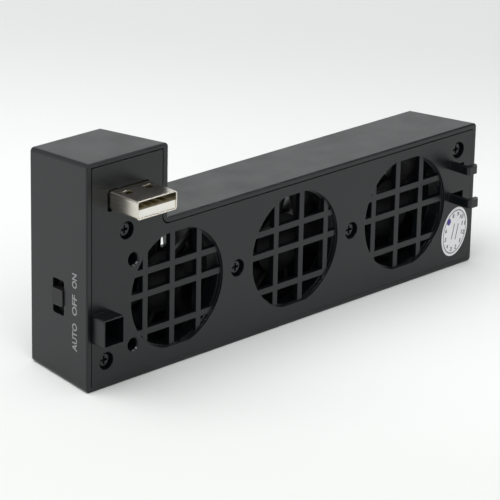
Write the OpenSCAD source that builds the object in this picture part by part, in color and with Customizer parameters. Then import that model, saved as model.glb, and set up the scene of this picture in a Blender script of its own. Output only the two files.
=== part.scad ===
// Clip-on cooling fan for a game console: an L-shaped, tapered housing with three small fans behind a
// barred front plate, a plug that draws power from the console, and a three-position switch on its end.
// x runs along the body from its tall end, y from the front plate to the back, z up.

/* [Fans] */
// Width and height of each square fan frame
fan_size = 30; // [26:0.5:36]
// Thickness of each fan frame from front to back
fan_t = 10; // [9:0.5:14]
// Free space between two fan frames
fan_space = 8.8; // [7:0.1:14]
// Least wall of a fan frame beside its round duct
frame_lip = 0.8; // [0.6:0.1:1.4]
// Gap between the blade tips and the duct
tip_gap = 0.4; // [0.3:0.05:0.8]
// Diameter of the rotor hub
hub_d = 15; // [14:0.5:17]
// Number of blades on a rotor
blade_n = 7; // [5:1:9]
// Angle between the middle of a blade and the shaft
blade_pitch = 42; // [30:1:50]
// Thickness of a blade
blade_t = 0.9; // [0.7:0.05:1.3]
// Diameter of the rotor shaft
shaft_d = 1.5; // [1.2:0.1:1.8]
// Pitch of the frame's corner holes, measured in from its edge
hole_inset = 3; // [2.8:0.1:3.6]
// Diameter of the frame's corner holes
hole_d = 3.2; // [2.6:0.1:3.6]

/* [Housing] */
// Room beside the first fan for the switch and the board
bay_w = 12.95; // [12.5:0.05:18]
// Room beyond the last fan for the end screws and the hooks
end_room = 10.75; // [10.5:0.05:16]
// Width of the tall end
tall_w = 24.7; // [23.5:0.1:32]
// Height of the tall end above the plug
tower_head = 7.6; // [7.4:0.1:12]
// Inward lean of each side wall from front to back
draft = 1.4; // [0.8:0.1:2]
// Radius of the edges round the front and the back
edge_r = 0.4; // [0.3:0.05:0.6]
// Radius of the corners of the outline
outline_r = 1; // [0.8:0.1:1.4]
// Wall at the switch end
side_wall = 1.45; // [1.2:0.05:2]
// Wall at the far end
end_wall = 2; // [1.2:0.05:2.4]
// Wall along the tops
top_wall = 1.4; // [1.2:0.05:2]
// Wall along the bottom
floor_wall = 1.85; // [1.2:0.05:2.4]
// Wall at the step of the tall end
step_wall = 1.7; // [1.2:0.05:2.4]
// Wall at the back
rear_wall = 1.8; // [1.2:0.1:2.4]
// Free depth between the front plate and the fans
front_room = 3; // [1:0.1:6]
// Length of the round ducts behind the fans
duct_l = 4.4; // [2:0.1:8]
// How much the ducts widen towards the back
flare = 0.9; // [0:0.1:1.4]
// Gap below the fans
floor_gap = 0.75; // [0.4:0.05:2]
// Gap above the fans
top_gap = 0.3; // [0.3:0.05:2]
// Diameter of the screw bosses
boss_d = 5.4; // [5.2:0.1:5.8]

/* [Front plate] */
// Thickness of the plate
plate_t = 2; // [1.6:0.1:3]
// Width of the housing's rim beside the plate at the tall end
rim_side = 1.25; // [1:0.05:2]
// Width of the rim at the far end
rim_end = 1.5; // [1:0.05:2]
// Width of the rim above the plate
rim_top = 1; // [0.8:0.05:2]
// Width of the rim below the plate
rim_floor = 1.25; // [1:0.05:2]
// Height of the rim above the plate along the low part
rim_low = 1.25; // [0.8:0.05:2]
// Width of the rim beside the step
rim_step = 1.55; // [1:0.05:2]
// Gap between the plate and the housing rim
plate_gap = 0.25; // [0.1:0.05:0.4]
// Share of that gap that is left below the plate, which rests low in its frame
low_share = 0.2; // [0.2:0.1:1]
// Radius of the plate's inner corner
corner_r = 2.2; // [1:0.1:3]
// How much wider than the ducts the fan openings are
opening_lip = 0.4; // [0:0.1:0.6]
// Depth of the flats at the top and bottom of the fan openings
flat_cut = 0.5; // [0:0.1:1.5]
// Width of the bars
bar_w = 1.52; // [1:0.01:2.2]
// Spacing of the upright bars
bar_pitch = 8.48; // [6:0.01:12]
// Place of the first upright bar, left of the first fan's axis
bar_first = 9.62; // [8:0.01:13]
// Heights of the level bars above the fans' axes
bar_heights = [6.2, 0.6, -8.7]; // [-13:0.1:13]
// Depth of the bars behind the plate's face
bar_recess = 0.6; // [0.2:0.1:1]
// Width of the ledge round each opening that carries the bars
ledge_w = 0.1; // [0.1:0.1:1]
// Diameter of the two plain holes
peg_hole_d = 2.9; // [2:0.1:3.5]
// Width of the bevel round the two plain holes
peg_bevel = 0.3; // [0.1:0.05:0.6]
// Half the distance between the two plain holes
peg_hole_half = 10.5; // [9:0.1:12]
// Distance of the two plain holes from the electronics bay
peg_hole_in = 1.15; // [0.5:0.05:2]

/* [Sensor port and hooks] */
// Width of the sensor port
port_w = 6.2; // [4.5:0.1:7]
// Height of the sensor port
port_h = 6.8; // [5:0.1:8]
// Reach of the sensor port in front of the plate
port_reach = 4.3; // [2:0.1:8]
// Wall of the sensor port
port_wall = 0.3; // [0.3:0.05:1]
// Radius of the sensor port's long edges
port_r = 0.5; // [0.2:0.1:1]
// Height of the sensor port's middle below the fans' axes
port_drop = 3.55; // [2:0.05:6]
// Reach of the upper and the lower hook in front of the plate
hook_reach = [6.4, 7.2]; // [4:0.1:9]
// Thickness of a hook's arm
hook_arm = 1.3; // [1.2:0.1:2.6]
// How far a hook's catch stands out from its arm
hook_catch = 2.7; // [1:0.1:3]
// Length of a hook's catch along the arm
catch_l = 1.7; // [1:0.1:2.5]
// Height of a hook
hook_h = 2; // [1:0.1:2.5]
// Height of the window behind the upper and the lower hook's catch
window_h = [0.9, 2]; // [0.5:0.1:2.5]
// Height of the upper hook's middle above the fans' axes
hook_rise = 8.7; // [6:0.1:10]
// Height of the lower hook's middle above the fans' axes
hook_low = 0.1; // [-2:0.1:3]

/* [Plug] */
// Width of the plug's shell, a standard size
plug_w = 12; // [11.5:0.1:12.5]
// Height of the plug's shell, a standard size
plug_h = 4.5; // [4:0.1:5]
// Sheet thickness of the shell
plug_sheet = 0.3; // [0.2:0.05:0.4]
// Reach of the plug in front of the plate
plug_reach = 9.5; // [8:0.1:12]
// Clearance round the plug in the plate
plug_play = 0.2; // [0.1:0.05:0.4]
// Wider gap below the plug and at its side next to the switch
plug_slit = 0.45; // [0.2:0.05:1]
// Length of the shell behind the plate's face
plug_back = 9.3; // [7:0.1:10]
// Height of the plug's axis above the low roof
plug_rise = 8.25; // [7.8:0.05:12]
// Width of a contact blade
contact_w = 1; // [0.8:0.05:1.2]

/* [Board and switch] */
// Thickness of the control board
board_t = 1.2; // [0.8:0.1:1.6]
// Length of the posts behind the control board
post_l = 5; // [4.6:0.1:5.6]
// Width of the control board's lower leg
leg_w = 5.8; // [5.6:0.1:7]
// Depth of the slide switch's body on the board
switch_d = 5.2; // [4.6:0.1:6]
// Length of the slide switch's body
switch_l = 11; // [10:0.1:11.4]
// Height of the switch's middle above the fans' axes
switch_rise = 1.75; // [0:0.05:3]
// Width of the knob, from front to back
knob_w = 3.8; // [3:0.1:4.2]
// Height of the knob
knob_h = 4.1; // [3.5:0.1:4.6]
// Travel of the knob to either side of its middle position
knob_travel = 2; // [1.5:0.1:2.2]
// How far the knob stands out of the wall
knob_proud = 0.5; // [0.2:0.1:0.7]

/* [Hidden] */
$fn = 64;

// Clearances
fit = 0.02;
slide_gap = 0.2;
part_gap = 0.3;
run_gap = 0.05;

// Fan sizes that follow from the frame
duct_r = fan_size / 2 - frame_lip;
tip_r = duct_r - tip_gap;
hub_r = hub_d / 2;
hub_wall = 0.8;
hub_gap = 0.7;
blade_inset = 0.3;
base_t = 1.2;
fan_board_t = 0.8;
fan_board_y = fan_t - base_t - fan_board_t;
skirt_y = fan_board_y - 1;
rotor_turns = [35, 20, 19];
magnet_t = 1;
magnet_r = hub_r - hub_wall - fit;
air_gap = 0.35;
stator_r = magnet_r - magnet_t - air_gap;
stator_y0 = hub_gap + hub_wall + 1;
stator_y1 = skirt_y - hub_wall;
coil_t = 0.5;
shaft_r = shaft_d / 2;
bearing_r = shaft_r + 0.85;
tube_r = bearing_r + 0.6;
motor_room = stator_r - tube_r;
core_r = tube_r + motor_room * 0.25;
shoe_t = motor_room * 0.28;
arm_w = motor_room * 0.57;
tube_y = stator_y0 - 0.2;
strut_w = 1.6;
lead_r = 0.45;
lead_slot = 2 * lead_r + slide_gap;
lead_inset = 1.6;
lead_turn = 4;
lead_rise = 2.5;
rail_w = 0.8;
pin_r = hole_d / 2 - 0.15;
pin_l = fan_t * 0.3;
post_r = pin_r + 0.75;

// Body sizes that follow from what it holds
fan_y = plate_t + front_room;
fan_back = fan_y + fan_t;
body_d = fan_back + duct_l + rear_wall;
slope = draft / (body_d - 2 * edge_r);
ball_sides = 32;
plug_shift = (plug_slit - plug_play) / 2;
pitch = fan_size + fan_space;
fan_x = [for (i = [0:2]) bay_w + fan_size / 2 + i * pitch];
fan_z = floor_wall + draft + floor_gap + fan_size / 2;
low_h = fan_z + fan_size / 2 + top_gap + draft + top_wall;
body_l = fan_x[2] + fan_size / 2 + end_room;
plug_x = tall_w / 2 + 0.25;
plug_z = low_h + plug_rise;
tall_h = plug_z + plug_h / 2 + tower_head;
rear_y = body_d - rear_wall;
opening_r = duct_r + opening_lip;
duct_wall = fan_size / 2 - duct_r;
outlet_r = duct_r + flare;
flare_slope = flare / (body_d - fan_back);

// Control board
board_y = rear_y - post_l - board_t;
leg_x0 = side_wall + draft + 0.15;
leg_x1 = leg_x0 + leg_w;
board_x1 = tall_w - step_wall - draft - 0.6;

// Screws
screw_r = 1;
head_r = 1.5;
head_t = 1.1;
head_sink = 0.8;
bore_r = head_r + 0.65;
cross_l = head_r * 1.3;
cross_w = head_r * 0.33;
cross_d = head_t * 0.65;
collar_t = 1.2;
screw_l = 9;
boss_r = boss_d / 2;
screw_half = fan_size / 2 - boss_r;
corner_screw = [leg_x1 + 0.5 + boss_r, fan_z + fan_size / 2 + part_gap + boss_r];
low_screw = [side_wall + draft + part_gap + boss_r, fan_z - screw_half];
end_screw_x = body_l - end_wall - draft - 0.6 - boss_r;
end_screw = [end_screw_x, fan_z + screw_half];
hidden_screw = [end_screw_x, fan_z - screw_half];
mid_screws = [for (i = [0:1]) [(fan_x[i] + fan_x[i + 1]) / 2, fan_z]];
case_screw_places = concat([corner_screw, low_screw, end_screw, hidden_screw], mid_screws);
board_screw_inset = 2.4;
board_screw_top = [leg_x0 + board_screw_inset, plug_z + plug_h / 2 + head_r + slide_gap];
board_screw_leg = [(leg_x0 + leg_x1) / 2, corner_screw[1] + 1.6];
board_screw_places = [board_screw_top, board_screw_leg];
board_z0 = low_screw[1] + boss_r + 0.6;
shoulder_z = corner_screw[1] + boss_r + 0.9;
board_z1 = board_screw_top[1] + 1.9;

// Switch, connectors and sensor on the board
switch_y = board_y - switch_d / 2;
switch_z = fan_z + switch_rise;
switch_x = side_wall + slope * board_y + 0.25;
switch_back = 2;
switch_w = leg_x1 - slide_gap - switch_back - switch_x;
stem_h = 1.5;
stem_w = 1.6;
stem_l = 1.8;
knob_back = switch_x - 0.25;
slot_w = knob_w + 2 * slide_gap;
slot_h = knob_h + 2 * knob_travel + 2 * slide_gap;
connector_h = 2.5;
connector_step = 3;
connector_z = switch_z + switch_l / 2 + 0.7 + connector_h / 2;
connector_d = 4.2;
can_d = 4;
mouth_d = 2;
board_edge = 0.4;
port_z = fan_z - port_drop;
port_x = rim_side + plate_gap / 2;
bead_r = 1.1;
bead = [port_x + port_w / 2, plate_t + bead_r + 1, switch_z - switch_l / 2 - bead_r - 0.5];

// Hooks and sticker
hook_x = fan_x[2] + opening_r + 1.55;
hook_zs = [fan_z + hook_rise, fan_z + hook_low];
sticker_w = 9.2;
sticker_h = 13;
sticker_t = 0.12;
sticker_lean = 14;
sticker_rise = 2.8;
sticker_at = [end_screw_x - 0.15, hidden_screw[1] + sticker_rise];

// Plug details
shell_r = 0.7;
tongue_w = plug_w - 2 * plug_sheet - 2 * fit;
tongue_h = plug_h - 2 * plug_sheet - 2 * fit;
contact_t = 0.2;
contact_xs = [-3.5, -1, 1, 3.5];
tail_y = board_y + board_t + 0.8;
tab_h = 2;

black_plastic = [0.16, 0.165, 0.165];
fan_black = [0.09, 0.09, 0.095];
nickel = [0.78, 0.77, 0.74];
board_green = [0.08, 0.3, 0.16];

// The body stands with its bounding box centred on the origin.
module placed() {
  translate([-body_l / 2, (plug_reach - body_d) / 2, 0]) children();
}

// Turns a flat shape drawn in x and z into a slab from y0 to y1.
module slab(y0, y1) {
  translate([0, y1, 0]) rotate([90, 0, 0]) linear_extrude(y1 - y0) children();
}

// A round rod along y.
module rod(r, y0, y1) {
  translate([0, y1, 0]) rotate([90, 0, 0]) cylinder(r = r, h = y1 - y0);
}

// A round tube along y.
module sleeve(outer, inner, y0, y1) {
  difference() {
    rod(outer, y0, y1);
    rod(inner, y0 - 1, y1 + 1);
  }
}

// A round rod along y that changes its radius from front to back.
module funnel(front_r, back_r, y0, y1) {
  translate([0, y1, 0]) rotate([90, 0, 0]) cylinder(r1 = back_r, r2 = front_r, h = y1 - y0);
}

// A rectangle with round corners, centred.
module round_rect(w, h, r) {
  square([w - 2 * r, h], center = true);
  square([w, h - 2 * r], center = true);
  for (x = [-1, 1], z = [-1, 1]) translate([x * (w / 2 - r), z * (h / 2 - r)]) circle(r);
}

module at(place) {
  translate([place[0], 0, place[1]]) children();
}

module at_fan(i) {
  translate([fan_x[i], fan_y, fan_z]) children();
}

// A block whose four sides lean in by the draft from y0 to y1.
module tapered(x0, x1, z0, z1, y0, y1) {
  lean0 = slope * (y0 - edge_r);
  lean1 = slope * (y1 - edge_r);
  intersection() {
    linear_extrude(z1 + 1)
      polygon([[x0 + lean0, y0], [x1 - lean0, y0], [x1 - lean1, y1], [x0 + lean1, y1]]);
    rotate([90, 0, 90]) linear_extrude(x1 + 1)
      polygon([[y0, z0 + lean0], [y0, z1 - lean0], [y1, z1 - lean1], [y1, z0 + lean1]]);
  }
}

// A leaning block with round corners along its depth, short of its edges by their radius.
module core(l, h) {
  hull() for (end = [1, -1]) {
    y = body_d / 2 - end * (body_d / 2 - edge_r);
    inset = outline_r + slope * (y - edge_r);
    for (x = [inset, l - inset], z = [inset, h - inset])
      translate([x, y, z]) rotate([-90 * end, 0, 0])
        cylinder(edge_r, outline_r - edge_r, 0, $fn = ball_sides);
  }
}

// The outside of the body with its rounded edges.
module outside() {
  minkowski() {
    union() {
      core(tall_w, tall_h);
      core(body_l, low_h);
    }
    sphere(edge_r / cos(180 / ball_sides), $fn = ball_sides);
  }
}

// The outline of the front plate, drawn in by a gap from the housing's rim.
module plate_outline(gap) {
  x0 = rim_side + gap;
  z0 = rim_floor + gap * low_share;
  step_x = tall_w - rim_step - gap;
  step_z = low_h - rim_low - gap;
  difference() {
    union() {
      translate([x0, z0]) square([step_x - x0, tall_h - rim_top - gap - z0]);
      translate([x0, z0]) square([body_l - rim_end - gap * low_share - x0, step_z - z0]);
      translate([step_x - 1, step_z - 1]) square([corner_r + 1, corner_r + 1]);
    }
    translate([step_x + corner_r, step_z + corner_r]) circle(corner_r);
  }
}

// The outline of one fan opening, drawn in by an inset: a circle with a flat at the top and bottom.
module opening_outline(inset) {
  intersection() {
    circle(opening_r - inset);
    square([3 * opening_r, 2 * (opening_r - flat_cut - inset)], center = true);
  }
}

// The bars that run behind the openings, on one lattice for the whole plate.
module bars() {
  reach = fan_size / 2 + flare;
  first = fan_x[0] - bar_first;
  for (x = [first : bar_pitch : fan_x[2] + reach])
    translate([x - bar_w / 2, fan_z - reach]) square([bar_w, 2 * reach]);
  for (h = bar_heights)
    translate([fan_x[0] - reach, fan_z + h - bar_w / 2]) square([fan_x[2] - fan_x[0] + 2 * reach, bar_w]);
}

module rear_housing() {
  color(black_plastic) placed() {
    difference() {
      union() {
        difference() {
          outside();
          slab(-1, plate_t + slide_gap) plate_outline(0);
          tapered(side_wall, tall_w - step_wall, floor_wall, tall_h - top_wall, plate_t, rear_y);
          tapered(side_wall, body_l - end_wall, floor_wall, low_h - top_wall, plate_t, rear_y);
        }
        for (i = [0:2]) translate([fan_x[i], 0, fan_z]) {
          funnel(fan_size / 2, fan_size / 2 + flare, fan_back, rear_y + rear_wall / 2);
          for (s = [-1, 1]) at([s * (fan_size / 2 - hole_inset), -s * (fan_size / 2 - hole_inset)]) {
            rod(post_r, fan_back, rear_y + rear_wall / 2);
            rod(pin_r, fan_back - pin_l, rear_y);
          }
        }
        for (p = case_screw_places) at(p) rod(boss_r, plate_t + collar_t, rear_y + rear_wall / 2);
        for (p = board_screw_places) at(p) rod(boss_r - 0.7, board_y + board_t, rear_y + rear_wall / 2);
      }
      for (i = [0:2]) translate([fan_x[i], 0, fan_z])
        funnel(duct_r - flare_slope, outlet_r + flare_slope, fan_back - 1, body_d + 1);
      for (p = case_screw_places) at(p) rod(screw_r + fit, plate_t, head_sink + head_t + screw_l + 1);
      for (p = board_screw_places) at(p) rod(screw_r + fit, board_y, rear_y);
      translate([-1, switch_y, switch_z]) rotate([90, 0, 90])
        linear_extrude(side_wall + draft + 1.5) round_rect(slot_w, slot_h, 0.6);
    }
    slab(rear_y, body_d - 0.4) intersection() {
      bars();
      for (i = [0:2]) translate([fan_x[i], fan_z]) circle(outlet_r + duct_wall / 3);
    }
  }
}

// One hook: an arm that ends in a catch with a sloping lead-in.
module hook(i) {
  reach = hook_reach[i];
  tip = hook_arm + hook_catch;
  lead_in = catch_l * 0.55;
  translate([hook_x, 0, hook_zs[i] - hook_h / 2]) linear_extrude(hook_h)
    polygon([
      [0, plate_t / 2], [0, 0.6 - reach], [0.6, -reach], [tip - lead_in, -reach],
      [tip, lead_in - reach], [tip, catch_l - reach], [hook_arm, catch_l - reach],
      [hook_arm, plate_t / 2]
    ]);
}

module front_plate() {
  port_mid = [port_x + port_w / 2, port_z];
  window_w = hook_catch + 1.4;
  color(black_plastic) placed() {
    difference() {
      union() {
        slab(0, plate_t) plate_outline(plate_gap);
        for (p = case_screw_places) at(p) rod(boss_r, plate_t / 2, plate_t + collar_t);
        at(port_mid) slab(-port_reach, plate_t / 2) round_rect(port_w, port_h, port_r);
        for (i = [0, 1]) hook(i);
      }
      for (i = [0:2]) translate([fan_x[i], 0, fan_z]) slab(-1, plate_t + 1) opening_outline(0);
      for (p = case_screw_places) at(p) {
        rod(bore_r, -1, head_sink + head_t);
        rod(screw_r + 0.15, 0, plate_t + collar_t + 1);
      }
      for (s = [-1, 1]) at([bay_w + peg_hole_in, fan_z + s * peg_hole_half]) {
        rod(peg_hole_d / 2, -1, plate_t + 1);
        funnel(peg_hole_d / 2 + 2 * peg_bevel, peg_hole_d / 2, -peg_bevel, peg_bevel);
      }
      at(port_mid) slab(-port_reach - 1, plate_t + 1)
        square([port_w - 2 * port_wall, port_h - 2 * port_wall], center = true);
      at([plug_x - plug_shift, plug_z - plug_shift]) slab(-1, plate_t + 1)
        round_rect(plug_w + plug_play + plug_slit, plug_h + plug_play + plug_slit, shell_r);
      for (i = [0, 1]) at([hook_x + hook_arm, hook_zs[i] - hook_h / 2])
        slab(-1, plate_t + 1) square([window_w, window_h[i]]);
    }
    slab(bar_recess, plate_t) intersection() {
      union() {
        bars();
        for (i = [0:2]) translate([fan_x[i], fan_z]) difference() {
          circle(fan_size / 2);
          opening_outline(ledge_w);
        }
      }
      for (i = [0:2]) translate([fan_x[i], fan_z]) circle(fan_size / 2);
    }
    for (i = [0:2]) translate([fan_x[i], 0, fan_z])
      sleeve(fan_size / 2, duct_r, plate_t - bar_recess, fan_y - run_gap);
  }
}

// A cross-head screw whose head seats at y0.
module screw(y0, length) {
  difference() {
    union() {
      rod(head_r, y0 - head_t, y0);
      rod(screw_r, y0 - head_t / 2, y0 + length);
    }
    for (a = [0, 90]) rotate([0, a, 0]) translate([-cross_l / 2, y0 - 2 * head_t, -cross_w / 2])
      cube([cross_l, head_t + cross_d, cross_w]);
  }
}

module case_screws() {
  color([0.13, 0.13, 0.14]) placed() for (p = case_screw_places) at(p) screw(head_sink + head_t, screw_l);
}

module board_screws() {
  color([0.6, 0.6, 0.6]) placed() for (p = board_screw_places) at(p) screw(board_y, board_t + post_l - 1);
}

// The oval seal over the lower end screw.
module inspection_sticker() {
  steps = 60;
  color([0.93, 0.93, 0.92]) placed() at(sticker_at) rotate([0, sticker_lean, 0]) slab(-sticker_t, 0)
    polygon([for (k = [0:steps - 1])
      [sticker_w / 2 * cos(k * 360 / steps), sticker_h / 2 * sin(k * 360 / steps)]]);
}

module plug_shell() {
  window = [2.4, 2];
  window_x = 3.1;
  window_y = -3.2;
  color(nickel) placed() at([plug_x, plug_z]) {
    difference() {
      slab(-plug_reach, plug_back) difference() {
        round_rect(plug_w, plug_h, shell_r);
        round_rect(plug_w - 2 * plug_sheet, plug_h - 2 * plug_sheet, shell_r - plug_sheet);
      }
      for (x = [-window_x, window_x])
        translate([x - window[0] / 2, window_y - window[1] / 2, -plug_h])
          cube([window[0], window[1], 2 * plug_h]);
    }
    for (x = [-plug_w / 2, plug_w / 2 - plug_sheet])
      translate([x, plug_back - 1, -tab_h / 2]) cube([plug_sheet, tail_y - plug_back + 1, tab_h]);
  }
}

module plug_insulator() {
  block_y = 1.5;
  color([0.93, 0.93, 0.9]) placed() at([plug_x, plug_z]) difference() {
    union() {
      slab(0.25 - plug_reach, board_y) intersection() {
        round_rect(tongue_w, tongue_h, shell_r - plug_sheet);
        translate([-plug_w, -plug_h]) square([2 * plug_w, plug_h]);
      }
      slab(block_y, board_y) round_rect(tongue_w, tongue_h, shell_r - plug_sheet);
    }
    for (x = contact_xs) translate([x - contact_w / 2 - fit, block_y - 1, 0])
      cube([contact_w + 2 * fit, board_y, contact_t + fit]);
  }
}

module plug_contacts() {
  first_y = 1.2 - plug_reach;
  color([0.83, 0.66, 0.25]) placed() at([plug_x, plug_z])
    for (x = contact_xs) translate([x - contact_w / 2, first_y, 0])
      cube([contact_w, tail_y - first_y, contact_t]);
}

module control_board() {
  hole_gap = 0.05;
  color(board_green) placed() difference() {
    slab(board_y, board_y + board_t) union() {
      translate([leg_x0, board_z0]) square([leg_w, board_z1 - board_z0]);
      translate([leg_x0, shoulder_z]) square([board_x1 - leg_x0, board_z1 - shoulder_z]);
    }
    for (p = board_screw_places) at(p) rod(screw_r + 0.15, board_y - 1, board_y + board_t + 1);
    at([plug_x, plug_z]) slab(board_y - 1, board_y + board_t + 1) {
      for (x = contact_xs) translate([x - contact_w / 2 - hole_gap, -hole_gap])
        square([contact_w + 2 * hole_gap, contact_t + 2 * hole_gap]);
      for (x = [-plug_w / 2, plug_w / 2 - plug_sheet]) translate([x - hole_gap, -tab_h / 2 - hole_gap])
        square([plug_sheet + 2 * hole_gap, tab_h + 2 * hole_gap]);
    }
  }
}

module speed_chip() {
  chip = [5, 1.5, 3.6];
  color([0.12, 0.12, 0.13]) placed()
    translate([plug_x - chip[0] / 2, board_y + board_t, plug_z + 1.3]) {
      translate([0, 0.15, 0]) cube([chip[0], chip[1] - 0.15, chip[2]]);
      for (k = [0:3]) translate([0.4 + k * 1.2, 0, -0.7]) cube([0.5, 0.3, chip[2] + 1.4]);
    }
}

module smoothing_capacitor() {
  can_r = min(can_d / 2, (plug_z - shoulder_z) / 2 - part_gap);
  can_l = post_l - 0.6;
  color([0.2, 0.22, 0.3]) placed() at([plug_x, shoulder_z + can_r + slide_gap])
    rod(can_r, board_y + board_t, board_y + board_t + can_l);
}

module fan_connectors() {
  mouth = 1.6;
  color([0.9, 0.88, 0.82]) placed()
    for (k = [0:2]) translate([leg_x0 + board_edge, board_y - connector_d, connector_z + k * connector_step])
      difference() {
        translate([0, 0, -connector_h / 2]) cube([leg_w - 2 * board_edge, connector_d, connector_h]);
        translate([leg_w - 2 * board_edge - mouth_d, connector_d / 2 - mouth, -mouth / 2])
          cube([leg_w, 2 * mouth, mouth]);
      }
}

module thermistor() {
  lead_gap = 0.65;
  color([0.1, 0.1, 0.1]) placed() translate([bead[0], 0, bead[2]]) {
    translate([0, bead[1], 0]) sphere(bead_r);
    for (x = [-lead_gap, lead_gap]) translate([x, 0, 0]) rod(0.25, bead[1], board_y);
  }
}

module slide_switch() {
  slot_z = stem_h + 2 * knob_travel + 2 * slide_gap;
  color([0.55, 0.56, 0.57]) placed() difference() {
    translate([switch_x, board_y - switch_d, switch_z - switch_l / 2]) cube([switch_w, switch_d, switch_l]);
    translate([switch_x - 1, switch_y - stem_w / 2 - slide_gap, switch_z - slot_z / 2])
      cube([stem_l + 1.2, stem_w + 2 * slide_gap, slot_z]);
  }
}

module switch_knob() {
  face_x = slope * (switch_y - edge_r) - knob_proud;
  color([0.24, 0.245, 0.25]) placed() translate([0, switch_y, switch_z]) rotate([90, 0, 90]) {
    translate([0, 0, face_x]) linear_extrude(knob_back - face_x) round_rect(knob_w, knob_h, 0.5);
    translate([0, 0, knob_back - 0.5]) linear_extrude(switch_x + stem_l - knob_back + 0.5)
      square([stem_w, stem_h], center = true);
  }
}

// The frame of one fan: duct, motor base on struts, and the tube that holds the bearing.
module fan_frame(i) {
  color(fan_black) placed() at_fan(i) difference() {
    union() {
      slab(0, fan_t) difference() {
        round_rect(fan_size, fan_size, 2);
        circle(duct_r);
        for (x = [-1, 1], z = [-1, 1])
          translate([x * (fan_size / 2 - hole_inset), z * (fan_size / 2 - hole_inset)]) circle(hole_d / 2);
      }
      rod(hub_r, fan_t - base_t, fan_t);
      rod(tube_r, tube_y, fan_t - base_t / 2);
      slab(fan_t - base_t, fan_t) {
        for (s = [-1, 1]) translate([s > 0 ? hub_r - 1 : -duct_r - 0.3, -strut_w / 2])
          square([duct_r - hub_r + 1.3, strut_w]);
        translate([-strut_w / 2, hub_r - 1]) square([strut_w, duct_r - hub_r + 1.3]);
        for (s = [-1, 1]) translate([s * (lead_slot + rail_w) / 2 - rail_w / 2, -duct_r - 0.3])
          square([rail_w, duct_r - hub_r + 1.3]);
      }
    }
    rod(bearing_r + fit, tube_y - 1, fan_t - base_t);
    translate([-lead_slot / 2, fan_t - base_t, -fan_size / 2 - 1])
      cube([lead_slot, base_t + 1, fan_size / 2 + 1 - tube_r - lead_inset]);
  }
}

module fan_bearing(i) {
  color([0.72, 0.5, 0.28]) placed() at_fan(i) sleeve(bearing_r, shaft_r + fit, tube_y + 0.1, fan_t - base_t);
}

module fan_shaft(i) {
  color([0.8, 0.8, 0.82]) placed() at_fan(i) rod(shaft_r, hub_gap + hub_wall / 2, fan_t - base_t - run_gap);
}

// The curved section of a blade, drawn in y and z and cut square at its front and back edges.
module blade_section() {
  camber_r = 12;
  front = hub_gap + blade_inset;
  back = skirt_y - blade_inset;
  middle = (front + back) / 2;
  intersection() {
    translate([middle - camber_r * sin(blade_pitch), -camber_r * cos(blade_pitch)]) difference() {
      circle(camber_r + blade_t / 2);
      circle(camber_r - blade_t / 2);
    }
    translate([front, -hub_r]) square([back - front, 2 * hub_r]);
  }
}

// All blades of a rotor, cut to the hub wall and to the tip circle.
module blades() {
  intersection() {
    for (k = [0:blade_n - 1]) rotate([0, k * 360 / blade_n, 0])
      translate([hub_r / 2, 0, 0]) rotate([90, 0, 90]) linear_extrude(tip_r) blade_section();
    sleeve(tip_r, hub_r - hub_wall / 2, 0, fan_t);
  }
}

module fan_rotor(i) {
  color([0.2, 0.205, 0.21]) placed() at_fan(i) difference() {
    union() {
      difference() {
        rod(hub_r, hub_gap, skirt_y);
        rod(hub_r - hub_wall, hub_gap + hub_wall, fan_t);
      }
      rod(shaft_r + 0.8, hub_gap + hub_wall / 2, tube_y - slide_gap);
      rotate([0, -rotor_turns[i], 0]) blades();
    }
    rod(shaft_r + fit / 2, hub_gap + hub_wall / 2, fan_t);
  }
}

module fan_magnet(i) {
  color([0.25, 0.24, 0.23]) placed() at_fan(i)
    sleeve(magnet_r, magnet_r - magnet_t, hub_gap + hub_wall, skirt_y - 0.2);
}

// The iron core with its four poles.
module fan_stator(i) {
  color([0.45, 0.45, 0.47]) placed() at_fan(i) slab(stator_y0, stator_y1) difference() {
    union() {
      circle(core_r);
      for (a = [0:90:270]) rotate(a) translate([0, -arm_w / 2]) square([stator_r - shoe_t / 2, arm_w]);
      for (a = [0:90:270]) rotate(a) intersection() {
        difference() {
          circle(stator_r);
          circle(stator_r - shoe_t);
        }
        polygon([[0, 0], [stator_r + 2, -stator_r * 0.7], [stator_r + 2, stator_r * 0.7]]);
      }
    }
    circle(tube_r + fit);
  }
}

// The four windings, one round each pole's arm.
module fan_coils(i) {
  wide = arm_w + 2 * coil_t;
  r0 = core_r + 0.15;
  r1 = sqrt(pow(stator_r - shoe_t, 2) - pow(wide / 2, 2)) - 0.1;
  deep = stator_y1 - stator_y0 + 2 * coil_t;
  color([0.72, 0.38, 0.16]) placed() at_fan(i) for (a = [0:90:270]) rotate([0, a, 0]) difference() {
    translate([r0, stator_y0 - coil_t, -wide / 2]) cube([r1 - r0, deep, wide]);
    translate([r0 - 1, stator_y0 - fit, -arm_w / 2 - fit])
      cube([r1 - r0 + 2, stator_y1 - stator_y0 + 2 * fit, arm_w + 2 * fit]);
  }
}

module fan_board(i) {
  color(board_green) placed() at_fan(i) sleeve(hub_r - 0.4, tube_r + 0.1, fan_board_y, fan_t - base_t);
}

function unit(v) = v / norm(v);
// A path with each inner corner drawn as a short curve.
function eased(p, r) = concat(
  [p[0]],
  [for (i = [1:len(p) - 2], k = [0:3])
    let (a = p[i] + r * unit(p[i - 1] - p[i]), b = p[i] + r * unit(p[i + 1] - p[i]), t = k / 3)
      a * pow(1 - t, 2) + p[i] * 2 * t * (1 - t) + b * t * t],
  [p[len(p) - 1]]);

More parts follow.
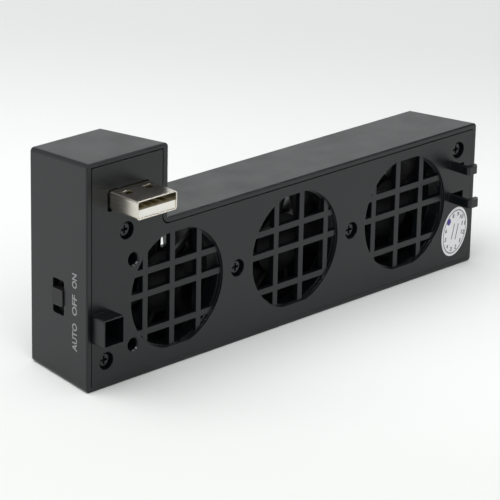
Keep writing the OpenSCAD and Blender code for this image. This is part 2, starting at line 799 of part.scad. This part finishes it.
// A thin cable along a path.
module cable(path, r) {
  sides = 8;
  n = len(path);
  reference = [0.36, 0.48, 0.8];
  points = [for (i = [0:n - 1])
    let (
      t = unit(path[min(i + 1, n - 1)] - path[max(i - 1, 0)]),
      u = unit(cross(t, reference)),
      v = cross(t, u)
    )
      for (k = [0:sides - 1]) path[i] + r * (u * cos(k * 360 / sides) + v * sin(k * 360 / sides))];
  walls = [for (i = [0:n - 2], k = [0:sides - 1])
    let (a = i * sides + k, b = i * sides + (k + 1) % sides)
      each [[a, b + sides, b], [a, a + sides, b + sides]]];
  ends = [[for (k = [0:sides - 1]) k], [for (k = [sides - 1:-1:0]) (n - 1) * sides + k]];
  polyhedron(points = points, faces = concat(ends, walls), convexity = 4);
}

// The two-core lead of one fan: down its strut, along the floor and up to its connector.
module fan_lead(i) {
  lane_y = fan_back - lead_r - run_gap - i * 3 * lead_r;
  strut_y = fan_back - lead_r - run_gap;
  floor_z = floor_wall + slope * (strut_y - edge_r) + lead_r + 2 * run_gap;
  lane_x = (leg_x1 + bay_w) / 2;
  mouth_y = board_y - connector_d / 2;
  mouth_z = connector_z + (2 - i) * connector_step;
  color([0.1, 0.1, 0.11]) placed() cable(eased([
    [fan_x[i], strut_y, fan_z - tube_r - lead_inset - 2 * lead_r],
    [fan_x[i], strut_y, floor_z],
    [fan_x[i] - lead_turn, lane_y, floor_z],
    [lane_x + lead_turn / 2, lane_y, floor_z],
    [lane_x, lane_y, floor_z + lead_rise],
    [lane_x, lane_y, mouth_z - lead_turn / 2],
    [lane_x - lead_turn / 4, mouth_y, mouth_z],
    [leg_x1 - board_edge - mouth_d / 2, mouth_y, mouth_z]
  ], 0.9), lead_r);
}

rear_housing();
front_plate();
case_screws();
inspection_sticker();
plug_shell();
plug_insulator();
plug_contacts();
control_board();
speed_chip();
smoothing_capacitor();
fan_connectors();
board_screws();
thermistor();
slide_switch();
switch_knob();
fan_frame(0);  // fan_1_frame
fan_bearing(0);  // fan_1_bearing
fan_stator(0);  // fan_1_stator
fan_coils(0);  // fan_1_coils
fan_board(0);  // fan_1_board
fan_rotor(0);  // fan_1_rotor
fan_magnet(0);  // fan_1_magnet
fan_shaft(0);  // fan_1_shaft
fan_lead(0);  // fan_1_lead
fan_frame(1);  // fan_2_frame
fan_bearing(1);  // fan_2_bearing
fan_stator(1);  // fan_2_stator
fan_coils(1);  // fan_2_coils
fan_board(1);  // fan_2_board
fan_rotor(1);  // fan_2_rotor
fan_magnet(1);  // fan_2_magnet
fan_shaft(1);  // fan_2_shaft
fan_lead(1);  // fan_2_lead
fan_frame(2);  // fan_3_frame
fan_bearing(2);  // fan_3_bearing
fan_stator(2);  // fan_3_stator
fan_coils(2);  // fan_3_coils
fan_board(2);  // fan_3_board
fan_rotor(2);  // fan_3_rotor
fan_magnet(2);  // fan_3_magnet
fan_shaft(2);  // fan_3_shaft
fan_lead(2);  // fan_3_lead
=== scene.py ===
# %% [markdown]
# # A console cooling fan, dressed in Blender
# The real thing is a flat black blower that clips to the back of a games console: a moulded tray,
# a front plate with three barred openings, three small fans behind them and a plug that feeds them.
# The solids come from CAD and stay where they are. Here they get a camera, a plain studio, finishes
# that look like the real materials, and the small printed and rounded details that CAD leaves out.

# %% Load the CAD frame
import math

import bmesh
import bpy
from mathutils import Matrix, Vector


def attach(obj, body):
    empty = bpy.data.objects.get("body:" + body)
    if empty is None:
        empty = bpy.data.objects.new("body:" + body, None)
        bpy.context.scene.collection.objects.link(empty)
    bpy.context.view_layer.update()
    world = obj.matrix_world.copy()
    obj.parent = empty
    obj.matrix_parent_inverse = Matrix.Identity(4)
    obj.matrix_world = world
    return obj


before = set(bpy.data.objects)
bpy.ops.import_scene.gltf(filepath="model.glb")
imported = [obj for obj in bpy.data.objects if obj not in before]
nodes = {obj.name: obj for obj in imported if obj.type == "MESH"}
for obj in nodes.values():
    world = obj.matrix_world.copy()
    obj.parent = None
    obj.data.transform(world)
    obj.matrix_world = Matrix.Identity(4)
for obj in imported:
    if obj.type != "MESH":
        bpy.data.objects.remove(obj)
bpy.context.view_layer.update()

scene = bpy.context.scene
scene.view_settings.view_transform = "Standard"
print("CAD nodes:", len(nodes))

# %% [markdown]
# ## Where things are
# The drawing counts millimetres from the lower left front corner of the tall end: x to the right,
# y from the front plate to the back, z up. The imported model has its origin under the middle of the
# object and is in metres. One small function turns the first into the second, so that every number
# below can be read off a ruler held against the object.

# %% From ruler to model
MM = 0.001
CORNER = Vector((-65.65, -5.85, 0.0))


def spot(x, y, z):
    """A place on the ruler, in millimetres from the corner, as a point of the model in metres."""
    return (Vector((x, y, z)) + CORNER) * MM


print("the corner lies at", [round(v, 5) for v in spot(0, 0, 0)])

# %% [markdown]
# ## The camera
# The photograph was taken with a long lens from the left, above the front: its edges hardly
# converge. A camera could be aimed with a tracking constraint, but the photo also has a slight
# roll, so the three axes of the camera are worked out here and put into its matrix.

# %% Camera axes
LENS, SENSOR = 210.6993, 36
CAMERA_PLACE = Vector((-471.419, -467.242, 264.904)) * MM
AZIMUTH, ELEVATION, ROLL = (math.radians(a) for a in (44.73476, 20.46696, 1.15572))
forward = Vector((math.sin(AZIMUTH) * math.cos(ELEVATION),
                  math.cos(AZIMUTH) * math.cos(ELEVATION), -math.sin(ELEVATION)))
level_right = forward.cross(Vector((0, 0, 1))).normalized()
level_up = level_right.cross(forward)
right = level_right * math.cos(ROLL) + level_up * math.sin(ROLL)
up = right.cross(forward)

camera_data = bpy.data.cameras.new("camera")
camera_data.lens = LENS
camera_data.sensor_width = SENSOR
camera_data.clip_start, camera_data.clip_end = 0.01, 50
camera = bpy.data.objects.new("camera", camera_data)
scene.collection.objects.link(camera)
turned = Matrix((right, up, -forward)).transposed().to_4x4()
camera.matrix_world = Matrix.Translation(CAMERA_PLACE) @ turned
scene.camera = camera
print("camera looks along", [round(v, 4) for v in forward])

# %% [markdown]
# ## Colours and nodes
# A paint chart gives colours as sRGB hex values, while a shader counts light, which is linear.
# One function converts. A second one adds a node: its settings are properties of the node, and
# each named input takes either a plain value or the output of an earlier node. A third one joins
# two nodes that the world and the floor both need: it tells how far a place lies along a direction.

# %% Three helpers for every node tree
FIRST, SECOND, MIXED = 6, 7, 2  # a Mix node's sockets for two colours and for their mixture


def linear(colour):
    """An sRGB hex colour as the linear red, green, blue and alpha that a shader counts in."""
    parts = [int(colour[i:i + 2], 16) / 255 for i in (1, 3, 5)]
    return [p / 12.92 if p <= 0.04045 else ((p + 0.055) / 1.055) ** 2.4 for p in parts] + [1.0]


def add(tree, kind, inputs=None, **settings):
    """Adds a node to a tree, gives it its settings, and fills or links its inputs."""
    node = tree.nodes.new(kind)
    for name, value in settings.items():
        setattr(node, name, value)
    for name, value in (inputs or {}).items():
        if isinstance(value, bpy.types.NodeSocket):
            tree.links.new(value, node.inputs[name])
        else:
            node.inputs[name].default_value = value
    return node


def share_along(tree, place, direction, low, high):
    """How far a place lies along a direction: 0 up to low, 1 from high on, smooth between them."""
    along = add(tree, "ShaderNodeVectorMath", {0: place, 1: direction}, operation="DOT_PRODUCT")
    return add(tree, "ShaderNodeMapRange", {
        "Value": along.outputs["Value"], "From Min": low, "From Max": high},
        interpolation_type="SMOOTHSTEP").outputs["Result"]


print("mid grey #808080 is", round(linear("#808080")[0], 4), "in linear light")

# %% [markdown]
# ## The studio
# The object stands in soft light on a white sweep of paper. A big lamp overhead on the left does
# most of it, and the world fills in from everywhere else. Black plastic shows little but
# reflections, so what there is to reflect matters more than the lamps: white paper behind and on
# the left, which ends some way up and leaves the round edges dark, a dim room in front, where the
# photographer stands, and a grey card low on the right, which draws the pale line along the rim.
# The Light Path node keeps that picture of the room for the camera and the shiny parts, and gives
# the rest an even fill. Two small lamps only draw glints, so they cast no hard shadow.

# %% World
PAPER, ROOM, CARD = "#e6e8e8", "#48494a", "#a4a6a6"
TO_PAPER, PAPER_FROM, PAPER_TO = Vector((-0.5, 0.86, 0.1)), -0.35, 0.15
UPWARD, PAPER_TOP, PAPER_FULL = Vector((0, 0, 1)), 0.64, 0.48
TO_CARD, CARD_FROM, CARD_TO = Vector((0.66, -0.73, 0.15)), 0.82, 0.95
FILL = 0.64
world = bpy.data.worlds.new("white_studio")
scene.world = world
world.use_nodes = True
tree = world.node_tree
tree.nodes.clear()
way = add(tree, "ShaderNodeTexCoord").outputs["Generated"]
paper_share = add(tree, "ShaderNodeMath", {
    0: share_along(tree, way, TO_PAPER, PAPER_FROM, PAPER_TO),
    1: share_along(tree, way, UPWARD, PAPER_TOP, PAPER_FULL)}, operation="MULTIPLY")
around = add(tree, "ShaderNodeMix", {
    "Factor": paper_share.outputs[0], FIRST: linear(ROOM), SECOND: linear(PAPER)}, data_type="RGBA")
around = add(tree, "ShaderNodeMix", {
    "Factor": share_along(tree, way, TO_CARD, CARD_FROM, CARD_TO),
    FIRST: around.outputs[MIXED], SECOND: linear(CARD)}, data_type="RGBA")
path = add(tree, "ShaderNodeLightPath")
seen = path.outputs["Is Camera Ray"]
for ray in ("Is Glossy Ray", "Is Transmission Ray"):
    seen = add(tree, "ShaderNodeMath", {0: seen, 1: path.outputs[ray]},
               operation="MAXIMUM").outputs[0]
fill = add(tree, "ShaderNodeBackground", {"Color": linear("#ffffff"), "Strength": FILL})
room = add(tree, "ShaderNodeBackground", {"Color": around.outputs[MIXED], "Strength": 1.0})
either = add(tree, "ShaderNodeMixShader", {
    0: seen, 1: fill.outputs[0], 2: room.outputs[0]})
add(tree, "ShaderNodeOutputWorld", {"Surface": either.outputs[0]})
print("world fills with", FILL)

# %% Lamps
AIM = Vector((0, 0, 0.02))
FRONT = (-0.33, -0.80, 0.70)


def softbox(name, place, size, power, fills=True, glints=True):
    """A square lamp, sized in metres, aimed at the object. It may fill, draw glints, or both."""
    lamp = bpy.data.lights.new(name, "AREA")
    lamp.shape = "SQUARE"
    lamp.size = size
    lamp.energy = power
    box = bpy.data.objects.new(name, lamp)
    scene.collection.objects.link(box)
    box.visible_diffuse, box.visible_glossy = fills, glints
    box.location = place
    box.rotation_euler = (AIM - box.location).to_track_quat("-Z", "Y").to_euler()
    return box


softbox("overhead_softbox", (-0.50, 0.20, 1.25), 1.3, 10.4)
softbox("front_softbox", FRONT, 0.9, 2.4, glints=False)
softbox("front_lamp", FRONT, 0.12, 5.0, fills=False)
softbox("right_lamp", (0.54, -0.47, 0.79), 0.14, 2.0, fills=False)

# %% [markdown]
# ## The floor
# The walls of the tray lean in towards the back, and its underside leans with them. The object
# stands on that underside, so the floor is laid along it: a plane through the bottom edge that
# rises by the same few degrees towards the back. Its paper's colour holds painted shade: a shade
# darker far away, where a sweep turns up and away from the lamp, and a little darker close by,
# with painted light in between.

# %% Sweep of paper
LENGTH, DEPTH, DRAFT, EDGE = 131.3, 21.2, 1.4, 0.4
SLOPE = DRAFT / (DEPTH - 2 * EDGE)
LEAN = math.atan(SLOPE)
FLOOR_HALF = 3.0
AWAY = (0.704, 0.710, 0.0)
NEAR_PAINTED_SHADE, MID_PAINTED_LIGHT, FAR_PAINTED_SHADE = "#eaecea", "#f3f5f4", "#dddfdf"
floor_mesh = bpy.data.meshes.new("paper_sweep")
corners = [(x * FLOOR_HALF, y * FLOOR_HALF, 0) for x, y in ((-1, -1), (1, -1), (1, 1), (-1, 1))]
floor_mesh.from_pydata(corners, [], [(0, 1, 2, 3)])
floor = bpy.data.objects.new("paper_sweep", floor_mesh)
scene.collection.objects.link(floor)
floor.location = spot(LENGTH / 2, DEPTH / 2, DRAFT / 2)
floor.rotation_euler = (LEAN, 0, 0)

paper = bpy.data.materials.new("matt_paper_sweep")
paper.use_nodes = True
tree = paper.node_tree
tree.nodes.clear()
place = add(tree, "ShaderNodeTexCoord").outputs["Object"]
# The paper's colour carries painted shade near and far, and painted light in the middle.
paper_painted_light = add(tree, "ShaderNodeMix", {
    "Factor": share_along(tree, place, AWAY, -0.10, -0.02),
    FIRST: linear(NEAR_PAINTED_SHADE), SECOND: linear(MID_PAINTED_LIGHT)}, data_type="RGBA")
paper_painted_light = add(tree, "ShaderNodeMix", {
    "Factor": share_along(tree, place, AWAY, 0.05, 0.22),
    FIRST: paper_painted_light.outputs[MIXED], SECOND: linear(FAR_PAINTED_SHADE)}, data_type="RGBA")
matt = add(tree, "ShaderNodeBsdfPrincipled", {
    "Base Color": paper_painted_light.outputs[MIXED], "Roughness": 0.9, "Specular IOR Level": 0.1})
add(tree, "ShaderNodeOutputMaterial", {"Surface": matt.outputs[0]})
floor_mesh.materials.append(paper)
print("floor leans", round(math.degrees(LEAN), 2), "degrees")

# %% [markdown]
# ## Finishes
# Nearly every piece is a moulding or a metal pressing, and they share one recipe: a broad, faint
# unevenness in colour and gloss, and a fine grain that tilts the surface. The grain of a real tool
# is about 0.05 mm, far less than a pixel here, so it is drawn some six times coarser and kept low.
# No tool leaves a perfectly sharp corner either: the Bevel node bends the light over the last few
# tenths of a millimetre, and that is what draws the thin lines round the openings. What
# differs between the materials is given to the function: two near colours, two near roughnesses,
# the size and depth of the grain, and the radius of the edges.

# %% One recipe for moulded, pressed and plated surfaces
def finish(name, dark, light, rough, grain_mm, depth_mm, edge_mm=0.1, patch_mm=9.0,
           stretch=(1, 1, 1), marks_or_painted_shade=None, mark_or_painted_shade_colour="#000000", **sockets):
    """A material between two colours and two roughnesses in soft patches, with a fine grain."""
    material = bpy.data.materials.new(name)
    material.use_nodes = True
    tree = material.node_tree
    tree.nodes.clear()
    place = add(tree, "ShaderNodeTexCoord").outputs["Object"]
    drawn = add(tree, "ShaderNodeMapping", {"Vector": place, "Scale": stretch}).outputs[0]
    patch = add(tree, "ShaderNodeTexNoise", {"Vector": drawn, "Scale": 1 / (patch_mm * MM),
                                             "Detail": 3.0, "Roughness": 0.6}).outputs[0]
    grain = add(tree, "ShaderNodeTexNoise", {"Vector": drawn, "Scale": 1 / (grain_mm * MM),
                                             "Detail": 2.0, "Roughness": 0.55}).outputs[0]
    colour = add(tree, "ShaderNodeMix", {
        "Factor": patch, FIRST: linear(dark), SECOND: linear(light)},
        data_type="RGBA").outputs[MIXED]
    # The marks are printed or patterned lines, and on the tongue a painted shade.
    if marks_or_painted_shade:
        colour = add(tree, "ShaderNodeMix", {
            "Factor": marks_or_painted_shade(tree, place), FIRST: colour, SECOND: linear(mark_or_painted_shade_colour)},
            data_type="RGBA").outputs[MIXED]
    gloss = add(tree, "ShaderNodeMapRange", {"Value": patch, "From Min": 0.3, "From Max": 0.7,
                                             "To Min": rough[0], "To Max": rough[1]})
    soft = add(tree, "ShaderNodeBevel", {"Radius": edge_mm * MM}, samples=4)
    relief = add(tree, "ShaderNodeBump", {
        "Height": grain, "Strength": 1.0, "Distance": depth_mm * MM, "Normal": soft.outputs[0]})
    shader = add(tree, "ShaderNodeBsdfPrincipled", {
        "Base Color": colour, "Roughness": gloss.outputs[0], "Normal": relief.outputs[0],
        **{key.replace("_", " "): value for key, value in sockets.items()}})
    add(tree, "ShaderNodeOutputMaterial", {"Surface": shader.outputs[0]})
    return material


# %% [markdown]
# ### Black plastics
# The tray and the plate are ABS with carbon black, moulded against a spark-eroded tool. Carbon
# black swallows nearly all the light that enters, so what is seen is the mirror image of the room,
# blurred by the grain and weakened by its pits: a lower specular level stands for those pits. The
# fans are PBT with glass fibre, deeper and duller. The knob is acetal, slippery, with a soft glint.

# %% Black ABS, PBT and acetal
spark_eroded_abs = finish("spark_eroded_black_abs", "#090d10", "#0d1114", (0.28, 0.36), 0.32, 0.003,
                          edge_mm=0.2, IOR=1.53, Specular_IOR_Level=0.37)
moulded_pbt = finish("moulded_black_pbt", "#050606", "#080909", (0.34, 0.44), 0.4, 0.002, IOR=1.55,
                     Specular_IOR_Level=0.05)
moulded_acetal = finish("moulded_black_acetal", "#161617", "#1b1b1d", (0.34, 0.42), 0.4, 0.003,
                        edge_mm=0.2, IOR=1.48, Specular_IOR_Level=0.4)
print("black plastics:", spark_eroded_abs.name, moulded_pbt.name, moulded_acetal.name)

# %% [markdown]
# ### Pale plastics and paper
# The tongue of the plug is white PBT, moulded smooth. Its upper side lies deep in the shell's
# shade, further than a few lamps can tell, so that shade is painted: the faces that look up are
# coloured a shade darker. The connectors are nylon, which is cream by nature. The sticker is
# coated paper with a weak sheen.

# %% White PBT, nylon and label paper
def upper_side(tree, place):
    """The faces that look up, which get a painted shade."""
    facing = add(tree, "ShaderNodeNewGeometry").outputs["Normal"]
    return share_along(tree, facing, UPWARD, 0.5, 0.9)


# The tongue's upper faces get a painted shade, #978f78.
white_pbt = finish("moulded_white_pbt", "#e4e3db", "#ecebe3", (0.38, 0.46), 0.4, 0.003, IOR=1.55,
                   marks_or_painted_shade=upper_side, mark_or_painted_shade_colour="#978f78")
nylon = finish("moulded_cream_nylon", "#b9ae94", "#c6bca3", (0.4, 0.5), 0.4, 0.003, IOR=1.53)
label_paper = finish("coated_label_paper", "#dcdedf", "#e4e5e6", (0.42, 0.52), 0.3, 0.002,
                     edge_mm=0.04, IOR=1.5)
print("pale:", white_pbt.name, nylon.name, label_paper.name)

# %% [markdown]
# ### Metals
# The plug's shell is steel strip plated with nickel: a warm, pale mirror with faint drawing marks
# along its length, so its grain is stretched that way. The contacts are bronze plated with gold.
# The case screws are steel with a black oxide, which keeps only a dark glint. The zinc of the
# smaller steel parts is greyer and blotchier, and the bearings are sintered bronze, a little
# porous. A metal keeps the default IOR.

# %% Plated, blackened and sintered metals
nickel = finish("drawn_nickel_plate", "#d6d0c5", "#e2dcd2", (0.2, 0.3), 0.5, 0.002, edge_mm=0.16,
                stretch=(1, 0.12, 1), Metallic=1.0)
gold = finish("gold_plated_bronze", "#8d7d47", "#a09055", (0.4, 0.5), 0.4, 0.002, Metallic=1.0)
black_oxide = finish("black_oxide_steel", "#363638", "#444446", (0.1, 0.16), 0.3, 0.004,
                     edge_mm=0.4, Metallic=1.0)
zinc = finish("zinc_plated_steel", "#a9acae", "#bfc2c2", (0.28, 0.42), 0.4, 0.003, Metallic=1.0)
bronze = finish("sintered_bronze", "#8a6a3c", "#a5824c", (0.42, 0.58), 0.25, 0.01, Metallic=1.0)
print("metals:", [m.name for m in (nickel, gold, black_oxide, zinc, bronze)])

# %% [markdown]
# ### The circuit and the motors
# Inside are green boards, whose copper tracks show through the solder mask as paler lines, iron
# stacks made of half-millimetre sheets, windings of lacquered wire, ferrite rings and soft black
# leads. Sheets and turns of wire are regular, so a Wave texture draws them at their real spacing,
# and the tracks run in a grid, which a Brick texture gives.

# %% Patterns at their real spacing
def tracks(tree, place):
    """Pale copper tracks, a quarter of a millimetre wide and 1.1 mm apart."""
    spacing, half_width = 1.1 * MM, 0.12 * MM
    upright = add(tree, "ShaderNodeMapping", {"Vector": place, "Rotation": (math.pi / 2, 0, 0)})
    return add(tree, "ShaderNodeTexBrick", {
        "Vector": upright.outputs[0], "Color1": (0, 0, 0, 1), "Color2": (0, 0, 0, 1),
        "Mortar": (1, 1, 1, 1), "Scale": 1.0, "Mortar Size": half_width,
        "Brick Width": 4 * spacing, "Row Height": spacing}).outputs["Fac"]


def stripes(tree, place, period_mm, direction, start):
    """Dark lines across a direction, one every period: the wave's crests above that start."""
    scale = math.pi / (10 * period_mm * MM)
    wave = add(tree, "ShaderNodeTexWave", {"Vector": place, "Scale": scale},
               bands_direction=direction)
    return add(tree, "ShaderNodeMapRange", {
        "Value": wave.outputs["Fac"], "From Min": start, "From Max": 1.0}).outputs[0]


def sheets(tree, place):
    """The dark seams between iron sheets, one every 0.5 mm of depth."""
    return stripes(tree, place, 0.5, "Y", 0.75)


def turns(tree, place):
    """The dark gaps between turns of wire: 0.1 mm wire is too fine to show, so 0.3 mm is drawn."""
    return stripes(tree, place, 0.3, "DIAGONAL", 0.7)


print("patterns:", tracks.__name__, sheets.__name__, turns.__name__)

# %% Boards, cores, windings, magnets and leads
circuit = finish("green_solder_mask", "#123f26", "#184d2f", (0.26, 0.38), 0.6, 0.004, IOR=1.5,
                 marks_or_painted_shade=tracks, mark_or_painted_shade_colour="#2d6b45")
chip_epoxy = finish("moulded_black_epoxy", "#141415", "#1b1b1c", (0.45, 0.6), 0.3, 0.004, IOR=1.53)
can = finish("sleeved_aluminium_can", "#1d2740", "#242f4b", (0.3, 0.4), 0.5, 0.002, IOR=1.5)
bead = finish("dipped_epoxy_bead", "#17191b", "#1e2123", (0.2, 0.3), 0.6, 0.004, IOR=1.53)
lamination = finish("stacked_silicon_steel", "#5c5d5f", "#77787a", (0.4, 0.55), 0.35, 0.006,
                    marks_or_painted_shade=sheets, mark_or_painted_shade_colour="#232324", Metallic=1.0)
wire = finish("lacquered_copper_wire", "#a9592c", "#c2703c", (0.25, 0.35), 0.2, 0.01,
              marks_or_painted_shade=turns, mark_or_painted_shade_colour="#4a2412", Metallic=1.0)
ferrite = finish("bonded_ferrite", "#2c2b2b", "#383636", (0.5, 0.65), 0.3, 0.006, IOR=1.6)
pvc = finish("soft_black_pvc", "#131314", "#1a1a1b", (0.42, 0.52), 0.5, 0.003, IOR=1.52)
print("inside:", [m.name for m in (circuit, chip_epoxy, can, bead, lamination, wire, ferrite, pvc)])

# %% [markdown]
# ### Which solid gets which finish
# Every solid arrives from CAD with the name of its material slot, so one table is enough. The
# slide switch is the exception: its slot says steel for its frame, but the side that shows through
# the slot is the black moulded cover.

# %% Put the finishes on the CAD nodes
BY_SLOT = {
    "black_abs": spark_eroded_abs, "black_screw": black_oxide, "label": label_paper,
    "nickel": nickel, "white_insulator": white_pbt, "gold_contact": gold, "circuit_board": circuit,
    "chip": chip_epoxy, "capacitor_can": can, "connector": nylon, "steel": zinc, "epoxy": bead,
    "knob_plastic": moulded_acetal, "fan_plastic": moulded_pbt, "bronze": bronze,
    "iron": lamination, "copper": wire, "magnet": ferrite, "lead_pvc": pvc,
}
for name, node in nodes.items():
    for holder in node.material_slots:
        slot = holder.material.name.split(".")[0]
        holder.material = chip_epoxy if name == "slide_switch" else BY_SLOT[slot]
print("finishes on", len(nodes), "nodes")

# %% [markdown]
# ## Printing
# The switch has a grey legend on the wall beside it, and the sticker carries a ring with the
# numbers 1 to 12 and one violet ink spot on the 7. Printing could be a texture, but a thin solid
# of ink keeps its crisp outline at any distance and survives the export. Blender's text objects
# give the outlines; they are turned into flat meshes, bent onto the surface, and given a thickness
# of two hundredths of a millimetre.

# %% From words to ink
INK_MM = 0.02


def lettering(text, bold=0.0):
    """The flat outline of a word as points in a box of 1 by 1, with its faces."""
    curve = bpy.data.curves.new("lettering", "FONT")
    curve.body = text
    curve.offset = bold
    curve.resolution_u = 3
    holder = bpy.data.objects.new("lettering", curve)
    scene.collection.objects.link(holder)
    shape = holder.evaluated_get(bpy.context.evaluated_depsgraph_get())
    mesh = shape.to_mesh()
    points = [v.co.to_2d() for v in mesh.vertices]
    faces = [tuple(p.vertices) for p in mesh.polygons]
    shape.to_mesh_clear()
    bpy.data.objects.remove(holder)
    bpy.data.curves.remove(curve)
    low = Vector(min(p[i] for p in points) for i in (0, 1))
    high = Vector(max(p[i] for p in points) for i in (0, 1))
    span = high - low
    return [((p.x - low.x) / span.x, (p.y - low.y) / span.y) for p in points], faces


def ink(name, areas, lay, material):
    """One piece of ink: flat areas (points, faces) laid on a surface, then thickened outwards."""
    mesh = bpy.data.meshes.new(name)
    build = bmesh.new()
    for points, faces in areas:
        base = [build.verts.new(lay(u, v, 0.0)) for u, v in points]
        top = [build.verts.new(lay(u, v, INK_MM)) for u, v in points]
        for face in faces:
            build.faces.new([top[i] for i in face])
            build.faces.new([base[i] for i in reversed(face)])
        sides = dict.fromkeys(side for face in faces for side in zip(face, face[1:] + face[:1]))
        for a, b in sides:
            if (b, a) not in sides:
                build.faces.new((base[a], base[b], top[b], top[a]))
    bmesh.ops.recalc_face_normals(build, faces=build.faces[:])
    build.to_mesh(mesh)
    build.free()
    mesh.materials.append(material)
    piece = bpy.data.objects.new(name, mesh)
    scene.collection.objects.link(piece)
    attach(piece, "case")
    return piece


screen_ink = finish("screen_printed_grey_ink", "#858988", "#8f9392", (0.5, 0.6), 0.3, 0.002,
                    edge_mm=0.02, IOR=1.5)
print("a letter O has", len(lettering("O")[0]), "points")

# %% [markdown]
# ### The switch's legend
# It reads upwards beside the slot. The wall leans, so each point's x follows the wall at its depth.

# %% Legend on the end wall
LEGEND_FRONT, LEGEND_H, LEGEND_BOLD = 3.7, 1.8, 0.022
LEGEND = {"AUTO": (9.2, 16.0), "OFF": (17.9, 22.9), "ON": (24.5, 28.1)}


def on_end_wall(u, v, lift):
    """u runs up the wall in mm, v runs back along it in mm."""
    return spot(SLOPE * (v - EDGE) - lift, v, u)


for word, (low, high) in LEGEND.items():
    points, faces = lettering(word, LEGEND_BOLD)
    drawn = [(low + u * (high - low), LEGEND_FRONT + v * LEGEND_H) for u, v in points]
    ink("legend_" + word.lower(), [(drawn, faces)], on_end_wall, screen_ink)
print("legend:", list(LEGEND))

# %% [markdown]
# ### The sticker's print
# The oval leans to the right. Its ring is drawn as a band of four-sided faces between two ovals,
# and the numbers stand inside it, with 12 at the right, as the sticker was put on sideways. Two
# ruled lines in the middle are there to be written on. The spot of violet ink is an uneven disc.

# %% Ring, ruled lines and numbers
STICKER_X, STICKER_Z, STICKER_FACE = 124.45, 9.5, -0.12
STICKER_LEAN = math.radians(14)
HALF_W, HALF_H = 4.6, 6.5


def on_sticker(u, v, lift):
    """u runs across the sticker in mm from its middle, v runs up it."""
    x = u * math.cos(STICKER_LEAN) + v * math.sin(STICKER_LEAN)
    z = v * math.cos(STICKER_LEAN) - u * math.sin(STICKER_LEAN)
    return spot(STICKER_X + x, STICKER_FACE - lift, STICKER_Z + z)


def oval(share, angle):
    """A point on an oval of that share of the sticker's size, with the angle from the right."""
    return share * HALF_W * math.cos(angle), share * HALF_H * math.sin(angle)


SIDES = 72
RING_IN, RING_OUT = 0.86, 0.90
angles = [2 * math.pi * k / SIDES for k in range(SIDES)]
band = [oval(RING_IN, a) for a in angles] + [oval(RING_OUT, a) for a in angles]
ring = [(k, (k + 1) % SIDES, SIDES + (k + 1) % SIDES, SIDES + k) for k in range(SIDES)]
areas = [(band, ring)]

RULE_U, RULE_HALF, RULE_W = 0.75, 2.1, 0.26
for left in (-RULE_U, RULE_U):
    box = [(left + u, v) for u, v in ((0, -RULE_HALF), (RULE_W, -RULE_HALF),
                                      (RULE_W, RULE_HALF), (0, RULE_HALF))]
    areas.append((box, [(0, 1, 2, 3)]))

DIGIT_W, DIGIT_H, DIGIT_BOLD, ONE_W = 0.66, 1.12, 0.03, 0.55
NUMBERS_AT, HOUR = 0.71, math.radians(30)
for number in range(1, 13):
    points, faces = lettering(str(number), DIGIT_BOLD)
    middle_u, middle_v = oval(NUMBERS_AT, -HOUR * number)
    width = DIGIT_W * len(str(number)) * (ONE_W if number == 1 else 1)
    drawn = [(middle_u + (u - 0.5) * width, middle_v + (v - 0.5) * DIGIT_H) for u, v in points]
    areas.append((drawn, faces))
stamp_grey = finish("stamped_grey_ink", "#555a5c", "#606567", (0.5, 0.6), 0.3, 0.002,
                    edge_mm=0.02, IOR=1.5)
ink("sticker_numbers", areas, on_sticker, stamp_grey)
print("sticker: a ring of", SIDES, "faces, two ruled lines and 12 numbers")

# %% The spot of violet ink
SPOT_AT, SPOT_R, SPOT_STRETCH, SPOT_SIDES = 0.74, 0.72, 1.25, 24


def over_numbers(u, v, lift):
    """The spot was put on last, so it lies on the numbers' ink."""
    return on_sticker(u, v, lift + INK_MM)


violet = finish("violet_marker_ink", "#3b2878", "#4a3690", (0.45, 0.55), 0.4, 0.002,
                edge_mm=0.02, IOR=1.5)
spot_u, spot_v = oval(SPOT_AT, -HOUR * 7)
outline = []
for k in range(SPOT_SIDES):
    angle = 2 * math.pi * k / SPOT_SIDES
    r = SPOT_R + 0.08 * math.sin(3 * k) + 0.05 * math.cos(5 * k)
    outline.append((spot_u + r * math.cos(angle), spot_v + r * SPOT_STRETCH * math.sin(angle)))
ink("sticker_ink_spot", [(outline, [tuple(range(SPOT_SIDES))])], over_numbers, violet)
print("ink spot of", SPOT_SIDES, "sides")
